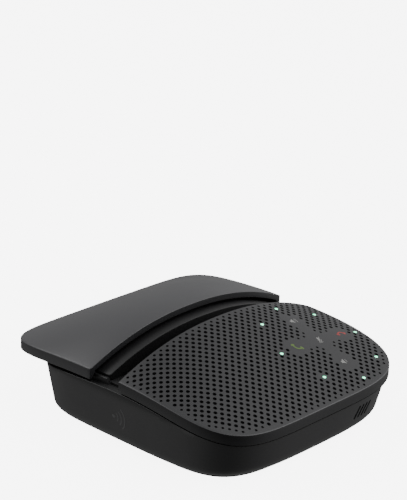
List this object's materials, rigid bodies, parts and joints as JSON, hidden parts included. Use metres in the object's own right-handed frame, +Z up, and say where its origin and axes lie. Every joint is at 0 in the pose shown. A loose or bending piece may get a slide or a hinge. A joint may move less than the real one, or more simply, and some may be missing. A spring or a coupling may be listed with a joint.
{
  "type": "conference speakerphone",
  "caption": "Rounded-square desktop speakerphone with a perforated domed grille, touch controls in a ring of lights, and a rear cover that slides open to form a phone slot.",
  "frame": {"origin": "on the surface that the part stands on, under the middle of the part with its cover open", "axes": "+X along the phone slot to the right seen from the grille's side, +Y to the rear, the way the cover opens, +Z up"},
  "size_m": [0.12, 0.131, 0.0451],
  "materials": {
    "black_abs": "fine moulded texture",
    "cover_abs": "fine matt moulded texture",
    "grille_abs": "fine matt moulded texture, perforated",
    "dark_abs": "moulded",
    "rubber": "matt elastomer",
    "board": "solder-masked laminate",
    "steel": "bright",
    "magnet": "plated",
    "clear_acrylic": "clear, lights white-mint",
    "cell_wrap": "foil pouch",
    "copper": "bare copper on film",
    "paper_cone": "pressed paper and cloth",
    "acetal": "black acetal",
    "spring_steel": "blackened spring steel"
  },
  "bodies": {
    "base": {"base_shell": "black_abs", "bottom_cover": "black_abs", "grille_cap": "grille_abs", "deck": "dark_abs", "slot_floor": "dark_abs", "speaker_chamber": "dark_abs", "chassis": "dark_abs", "headset_jack": "dark_abs", "processor": "dark_abs", "slot_pad": "rubber", "foot_ring": "rubber", "cord_gland": "rubber", "speaker_surround": "rubber", "mic_boot_left": "rubber", "mic_boot_right": "rubber", "control_board": "board", "main_board": "board", "side_board": "board", "screw_1": "steel", "screw_2": "steel", "screw_3": "steel", "screw_4": "steel", "speaker_basket": "steel", "shield_can": "steel", "power_switch": "steel", "pairing_switch": "steel", "microphone_left": "steel", "microphone_right": "steel", "vent_screen": "steel", "speaker_magnet": "magnet", "light_guide": "clear_acrylic", "battery_pack": "cell_wrap", "touch_film": "copper", "voice_coil": "copper", "tag_antenna": "copper", "speaker_cone": "paper_cone", "dust_cap": "paper_cone", "speaker_cloth": "paper_cone", "slide_guide_left": "acetal", "slide_guide_right": "acetal", "detent_spring": "spring_steel"},
    "cover": {"stand_cover": "cover_abs", "cover_rail_left": "acetal", "cover_rail_right": "acetal"},
    "power_button": {"power_button": "dark_abs"},
    "pairing_button": {"pairing_button": "dark_abs"}
  },
  "joints": [
    {"name": "cover_slide", "type": "slide", "parent": "base", "child": "cover", "axis": [0, 1, 0], "range_m": [-0.0163, 0]},
    {"name": "power_button_press", "type": "slide", "parent": "base", "child": "power_button", "axis": [-1, 0, 0], "range_m": [0, 0.0006], "stiffness_N_per_m": 800},
    {"name": "pairing_button_press", "type": "slide", "parent": "base", "child": "pairing_button", "axis": [-1, 0, 0], "range_m": [0, 0.0006], "stiffness_N_per_m": 800}
  ]
}
